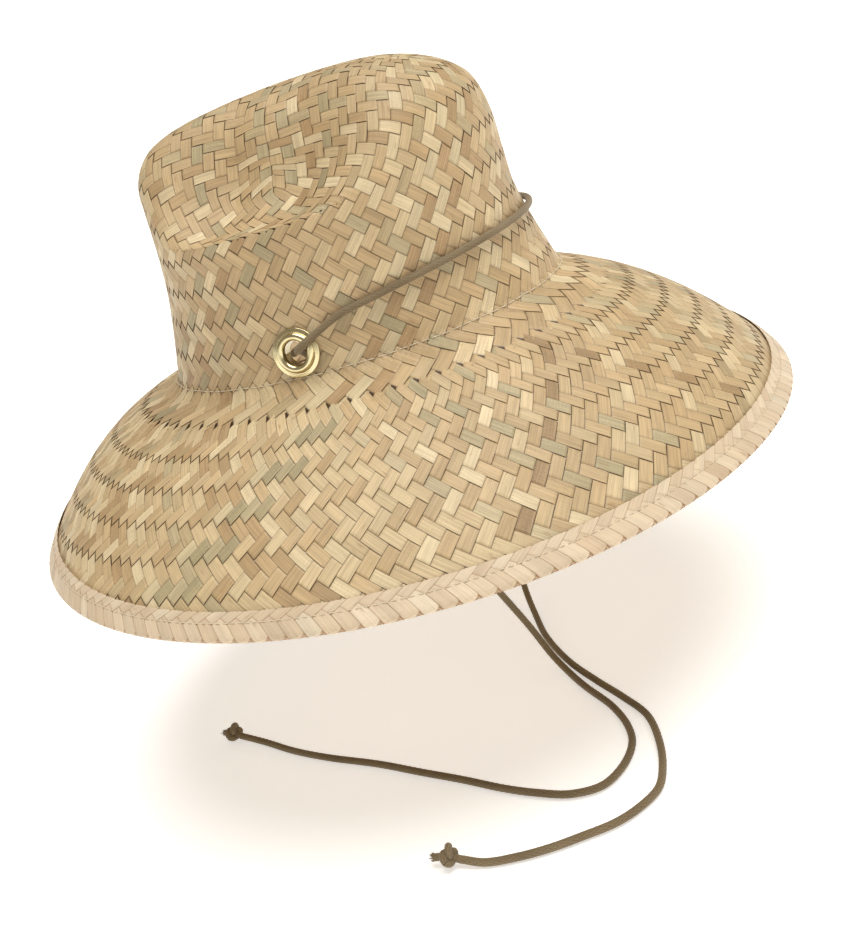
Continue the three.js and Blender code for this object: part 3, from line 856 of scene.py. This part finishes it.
def crown_lattice(quarter, x, y):
    """Point of strip x of a quarter, y crossings from where it bends round the quarter's axis."""
    ring = np.abs(x) + np.abs(y)
    square = 1 - smooth(5, TOP_LEVELS - 1, ring)
    level = (1 - square) * ring + square * math.sqrt(2) * np.hypot(x, y)
    angle = np.arctan2(y, x) * QUARTER / (math.pi / 2)
    turn = (1 - square) * diamond_turn(x, y) + square * angle
    beyond = ring > TOP_LEVELS
    level = np.where(beyond, x + np.abs(y), level)
    turn = np.where(beyond, np.sign(y) * (QUARTER / 2 + (np.abs(y) - x) / 2), turn)
    return hat_point(quarter * QUARTER + turn, level)


def slanted(direction, number, offset, station, start):
    """Turn and level in a diagonal weave, `offset` strips beside strip `number` at a station."""
    turn = number + 0.5 + offset / 2 + direction * (station - start) / 2
    return turn, station - direction * offset


def goes_over(level, outward):
    """Whether a strip is on top: rows two crossings wide, in turn for each direction."""
    return (np.floor(level + 0.5) % 4 >= 2) == outward


def add_strip(build, leaf, place, inside, stations, over, inside_shade, number):
    """One palm strip through `stations` (position along, in crossings).

    place(offset, stations) gives the surface points at a sideways offset in strip spacings, and
    inside(points) a point on the hidden side of each. It is on top where `over`; its outer face
    gets painted shade where it is not, and the mask after `over` paints shade on its inner face.
    """
    n = len(stations)
    knots = np.arange(0, n + WOBBLE_EVERY, WOBBLE_EVERY)
    wobble = leaf.loose * np.interp(np.arange(n), knots, rng.normal(0, WOBBLE, len(knots)))
    half = leaf.half * (1 + leaf.loose * rng.normal(0, WIDTH_SPREAD))
    height = leaf.middle + np.where(over, leaf.relief, -leaf.relief)
    height = height + leaf.loose * rng.normal(0, HEIGHT_SPREAD, n)
    share = np.linspace(-1, 1, leaf.columns)
    offset, at = wobble[:, None] + half * share[None, :], stations[:, None]
    step = 0.1
    middle = place(offset, at)
    along_dir = place(offset, at + step) - place(offset, at - step)
    across_dir = place(offset + step, at) - place(offset - step, at)
    normal = unit(np.cross(along_dir, across_dir))
    normal = normal * np.sign(((middle - inside(middle)) * normal).sum(-1))[..., None]
    upper = middle + (height + leaf.thick / 2)[:, None, None] * normal
    lower = middle + (height - leaf.thick / 2)[:, None, None] * normal
    section = np.concatenate([upper, lower[:, ::-1]], axis=1)
    along = distances(middle.mean(axis=1))
    across = np.concatenate([share, share[::-1]])
    fibre = side_by_side(along[:, None], across[None, :], float(number))
    # Painted shade: outer face where the strip is underneath, inner face where the mask asks.
    dive = np.repeat(np.stack([~over, inside_shade], axis=1).astype(float), leaf.columns, axis=1)
    faces = loft_faces(n, 2 * leaf.columns, caps=True)
    build.add(section, faces, True, fibre=fibre, dive=dive.ravel())


def stations_between(first, last, within=(-0.3, 0.3)):
    """Stations within each crossing, so that a strip dives between them; crossings at k + 0.5."""
    middles = np.arange(math.floor(first), math.ceil(last)) + 0.5
    every = (middles[:, None] + np.array(within)).ravel()
    inner = every[(every > first + 0.05) & (every < last - 0.05)]
    return np.concatenate([[first], inner, [last]])


def inside_hat(points):
    """A point on the wearer's side of the hat for each point of its surface."""
    inner = points * np.array([0.55, 0.55, 0.0])
    inner[..., 2] = np.minimum(points[..., 2] - 25.0, 40.0)
    return inner


def in_grommets(points):
    """Points within the holes that the grommets are set in."""
    hit = np.zeros(len(points), bool)
    for side in (-1, 1):
        origin, _, _, out = grommet_frame(side)
        offset = points - origin
        depth = offset @ out
        radius = np.linalg.norm(offset - depth[:, None] * out, axis=1)
        hit |= (radius < BARREL + GROMMET_PLAY) & (np.abs(depth) < GROMMET_DEPTH)
    return hit


def crown_strip(build, quarter, number, strip_id):
    """A strip that comes up the wall, bends round the quarter's axis and goes down again."""
    x = number + 0.5
    stations = stations_between(x - CROWN_ENDS[0], CROWN_ENDS[1] - x)
    crossing = np.round(x + np.abs(np.floor(stations) + 0.5))
    over = goes_over(crossing, stations > 0)
    over &= x + np.abs(stations) < CROWN_TUCK + 0.5 * (stations < 0)

    def place(offset, along):
        return crown_lattice(quarter, x + offset, along)

    # Painted shade on the inner face where the strip is on top, but not near the foot.
    inside_shade = over & (x + np.abs(stations) < SEAM_LEVEL - FOOT_MARGIN)
    add_strip(build, CROWN_LEAF, place, inside_hat, stations, over, inside_shade, strip_id)


def brim_strip(build, direction, number, strip_id):
    """A strip that runs out over the brim, slanted one way or the other, into the fold."""
    stations = stations_between(BRIM_STARTS[direction] - 0.5, BRIM_STOP - 0.5) + 0.5
    over = goes_over(np.floor(stations + 0.5), direction > 0) & (stations > BRIM_TUCK)

    def place(offset, along):
        turn, level = slanted(direction, number, offset, along, SPLIT_LEVEL)
        return hat_point(turn / 2, level)

    # Painted shade on the inner face where the strip is on top, but not near the foot.
    inside_shade = over & (stations > SPLIT_LEVEL + FOOT_MARGIN)
    add_strip(build, BRIM_LEAF, place, inside_hat, stations, over, inside_shade, strip_id)


def make_weave():
    """Crown and brim, each in two pieces. A strip's own number gives it its tint."""
    material = palm_material("palm_strips", STRAW_LEAVES, shadow=srgb(58, 36, 18), grain=0.16)
    for half, quarters in (("a", (0, 2)), ("b", (1, 3))):
        build = Build()
        for quarter in quarters:
            for number in range(QUARTER):
                crown_strip(build, quarter, number, quarter * QUARTER + number + 1)
        build.drop(in_grommets)
        build.finish(f"crown_weave_{half}", material, "straw", *(["crown"] if half == "a" else []))
    for half, direction in (("a", 1), ("b", -1)):
        build = Build()
        for number in range(2 * AROUND):
            brim_strip(build, direction, number, 200 + 400 * (direction > 0) + number)
        build.finish(f"brim_weave_{half}", material, "straw", *(["brim"] if half == "a" else []))


# ---- folded braid round the edge ----
BRAID_AROUND = 156  # strips of one direction round the edge
BRAID_LEVELS = [-0.5, 1.5, 3.5, 5.5]  # at its upper edge, ridge, underside and lower edge
BRAID_START = 2.5
BRAID_ROOM = 0.4  # from the stitch line to the ridge
NOSE_RADIUS = BINDING_FOLD + 0.5 * BINDING_THICK
FLAT_OVER = BINDING_OVER - BINDING_FOLD - BINDING_THICK
NOSE = math.pi * NOSE_RADIUS * 0.78  # the fold's length round the nose
STITCH_LINE = 4.3  # from the braid's upper inner edge


def binding_point(th, v, proud=0.0):
    """The fold from its upper inner edge (v = 0) over the nose to its lower inner edge."""
    th, v = np.broadcast_arrays(th, v)
    length = brim_chord(th)
    bend = np.clip((v - FLAT_OVER) / NOSE, 0, 1) * math.pi
    back = np.where(v < FLAT_OVER, BINDING_OVER - v, BINDING_FOLD + BINDING_THICK)
    back = np.where(v > FLAT_OVER + NOSE, back + v - FLAT_OVER - NOSE, back)
    half = STRAW / 2 + GAP + BINDING_THICK / 2
    reach = -back + (NOSE_RADIUS + proud) * np.sin(bend)
    height = -STRAW / 2 + (half + proud) * np.cos(bend)
    base_h = 1 + np.minimum(reach, -BINDING_FOLD) / length
    base = brim_point(th, base_h)
    n = normal_of(brim_point, th, base_h)
    out = unit(brim_point(th, 1.0) - brim_point(th, 0.96))
    past = (reach - np.minimum(reach, -BINDING_FOLD))[..., None]
    return base + n * (height - GAP / 2)[..., None] + out * past


def inside_fold(points):
    """The nearest point inside the fold, level with the brim's middle layer."""
    th = np.arctan2(points[..., 0] / EDGE_X, -(points[..., 1] - EDGE_SHIFT) / EDGE_Y)
    length = brim_chord(th)
    inner = brim_point(th, 1 - BINDING_OVER / length)
    axis = unit(brim_point(th, 1.0) - inner)
    reach = np.clip(((points - inner) * axis).sum(-1), 0, FLAT_OVER)
    h = 1 - (BINDING_OVER - reach) / length
    return brim_point(th, h) + normal_of(brim_point, th, h) * (-STRAW / 2 - GAP / 2)


def make_binding():
    """The braid over the edge, woven as the hat is, but finer and paler."""
    material = palm_material("binding_braid", BINDING_LEAVES, shadow=srgb(158, 124, 88), grain=0.08)
    reach = [0.0, STITCH_LINE + BRAID_ROOM, FLAT_OVER + NOSE, FLAT_OVER + NOSE + BINDING_UNDER]
    build = Build()
    for direction in (1, -1):
        for number in range(BRAID_AROUND):
            first, last = BRAID_LEVELS[0] - 0.5, BRAID_LEVELS[-1] + 0.5
            stations = stations_between(first, last, (-0.34, -0.12, 0.12, 0.34))
            over = goes_over(np.floor(stations - 0.001) + 1.0, direction > 0)

            def place(offset, along, direction=direction, number=number):
                turn, level = slanted(direction, number, offset, along, BRAID_START)
                th = TURN * turn / BRAID_AROUND
                return binding_point(th, np.interp(level, BRAID_LEVELS, reach))

            strip_id = 900 + 300 * (direction > 0) + number
            # Painted shade on the inner face wherever the strip is on top.
            add_strip(build, BINDING_LEAF, place, inside_fold, stations, over, over, strip_id)
    build.finish("edge_braid_strips", material, "binding", "edge_braid")


# ---- stitches ----
class Stitching(NamedTuple):
    """A line of stitches round the hat; radius and lift are in millimetres."""

    count: int
    share: float  # of a stitch's length that lies on top
    radius: float
    lift: float  # of the thread's middle


SEAM_STITCHING = Stitching(118, 0.84, 0.24, 0.3)
BINDING_STITCHING = Stitching(330, 0.74, 0.17, 0.22)
HEM_STITCHING = Stitching(180, 0.7, 0.16, 0.25)
SEAM_STITCH_LEVEL = 45.6
STITCH_LIFT = 0.05
STITCH_DIP = 0.35  # how far the ends of a stitch go down into the straw


def add_stitches(build, place, stitching):
    """Stitches round the hat: place(turn, height) with turn 0 to 1 gives a point over the surface."""
    u = np.linspace(0, 1, 7)
    for k in range(stitching.count):
        turn = (k + stitching.share * (u - 0.5) + rng.normal(0, 0.03)) / stitching.count
        arch = np.sin(math.pi * u) ** 0.5
        height = stitching.lift * arch - STITCH_DIP * (np.abs(u - 0.5) > 0.45)
        tube(build, place(turn, height), stitching.radius, 6)


def make_stitches():
    material = thread_material()

    def at_seam(turn, height):
        level = SEAM_STITCH_LEVEL + 0.04 * np.sin(40 * math.pi * turn)
        th = rings.angle(turn, level)
        out = np.stack([np.sin(th), -np.cos(th), 0.5 + 0 * th], -1)
        return bent_ring_point(th, level) + (STITCH_LIFT + height)[:, None] * unit(out)

    def at_binding(turn, height):
        th = TURN * turn
        point = binding_point(th, STITCH_LINE)
        up = unit(binding_point(th, STITCH_LINE, 1.0) - point)
        return point + up * (0.25 + height)[:, None]

    seam, edge = Build(), Build()
    add_stitches(seam, at_seam, SEAM_STITCHING)
    add_stitches(edge, at_binding, BINDING_STITCHING)
    seam.finish("seam_stitches", material, "binding")
    edge.finish("binding_stitches", material, "binding")


# ---- sweatband ----
BAND_LENGTH = 590.0  # the oval just inside the crown
HEM = 4.0  # depth of the folded hem at the top


def make_sweatband():
    """A cotton band sewn in at the seam, with a rolled lower edge and a folded hem at the top."""
    columns = 360
    turn = np.arange(columns) / columns
    th = rings.angle(turn, SEAM_LEVEL)
    inner, outer = STRAW + GAP + BAND_THICK, STRAW + GAP
    heights = np.linspace(BAND_BOTTOM + 1.0, BAND_TOP - 0.4, 13)
    middle = (inner + outer) / 2
    section = [(z, -inner - (0.12 if z > BAND_TOP - HEM else 0.0)) for z in heights]
    section += [(BAND_TOP, -middle), *((z, -outer) for z in heights[::-4])]
    for a in (-0.6, 0.3, 1.2):
        section.append((BAND_BOTTOM + 0.7 - 0.6 * math.cos(a), -middle - 0.55 * math.sin(a)))
    points = np.stack([wall_point(th, z, depth) for z, depth in section], axis=1)
    steps = [abs(a[0] - b[0]) + abs(a[1] - b[1]) for a, b in zip(section, section[1:])]
    along = running(steps)
    fibre = side_by_side(BAND_LENGTH * turn[:, None], along[None, :], 0.0)
    build = Build()
    build.add(points, loft_faces(columns, len(section), closed_rows=True), fibre=fibre)
    build.drop(in_grommets)
    band = build.finish("sweatband_cloth", cloth_material(), "band", "sweatband")
    stitches = Build()

    def at_hem(turn, height):
        place = rings.angle(turn, SEAM_LEVEL)
        return wall_point(place, BAND_TOP - HEM + 0.4, -inner - STITCH_LIFT - height)

    add_stitches(stitches, at_hem, HEM_STITCHING)
    hem = stitches.finish("sweatband_stitches", thread_material(), "binding")


# ---- grommets ----
INSIDE = -(STRAW + GAP + BAND_THICK)  # the sweatband's inner face
FLANGE_LIFT = 0.65
WASHER_DROP = 1.0
ROLL = 1.9  # half-width of the rounded roll round the bore


def arc(r, z, radius, start, end, steps):
    """Points on an arc round (r, z), from start to end degrees."""
    angles = [math.radians(start + (end - start) * k / steps) for k in range(steps + 1)]
    return [(r + radius * math.cos(a), z + radius * math.sin(a)) for a in angles]


def eyelet_outline():
    """Barrel, roll and flange outside, and the barrel's end rolled back over the washer."""
    lift, tail = FLANGE_LIFT, INSIDE - WASHER_DROP - 1.9
    return [
        (BORE, tail + 1.1),
        *arc(BORE + ROLL, lift + 0.9, ROLL, 180, 20, 18),
        *arc(BORE + 2 * ROLL + 0.75, lift + 1.05, 0.75, 215, 262, 5),
        *arc(FLANGE - 2.0, lift - 0.35, 1.35, 100, 60, 5),
        *arc(FLANGE - 0.4, lift + 0.4, 0.4, 70, -90, 8),
        (BARREL + 0.5, lift),
        *arc(BARREL + 0.5, lift - 0.5, 0.5, 100, 180, 4),
        (BARREL, tail + 1.3),
        *arc(BARREL + 1.15, tail + 1.15, 0.5, 180, 330, 8),
        *arc(BARREL + 1.15, tail + 1.15, 1.1, 330, 200, 12),
    ]


def washer_outline():
    """A thin dished ring with a rounded rim."""
    top = INSIDE - WASHER_DROP
    return [
        (BARREL + 0.25, top), (WASHER - 0.1, top), *arc(WASHER - 0.15, top - 0.2, 0.15, 90, -40, 4),
        *arc(WASHER - 0.6, top - 0.3, 0.35, -30, -90, 4), (BARREL + 2.7, top - 0.62),
        (BARREL + 2.3, top - 0.35), (BARREL + 0.25, top - 0.32),
    ]


def turned(build, outline, side, segments=96):
    """An outline of (radius, height) turned round a grommet's axis."""
    origin, forward, up, out = grommet_frame(side)
    angles = angles_round(segments)
    radial = np.cos(angles)[:, None] * forward + np.sin(angles)[:, None] * up
    points = np.stack([origin + r * radial + z * out for r, z in outline], axis=1)
    faces = loft_faces(segments, len(outline), closed_rows=True)
    if side > 0:
        faces = [f[::-1] for f in faces]
    build.add(points, faces)


def make_grommets():
    material = brass_material()
    for word, side in (("right", -1), ("left", 1)):
        for part, outline in (("eyelet", eyelet_outline()), ("washer", washer_outline())):
            build = Build()
            turned(build, outline, side)
            build.finish(f"grommet_{word}_{part}_brass", material, "brass", f"grommet_{word}_{part}")


# ---- the whole hat ----
make_camera()
make_cords()
make_studio()
make_weave()
make_binding()
make_stitches()
make_sweatband()
make_grommets()
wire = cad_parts["brim_wire"]
wire.data.materials.clear()
wire.data.materials.append(wire_material())
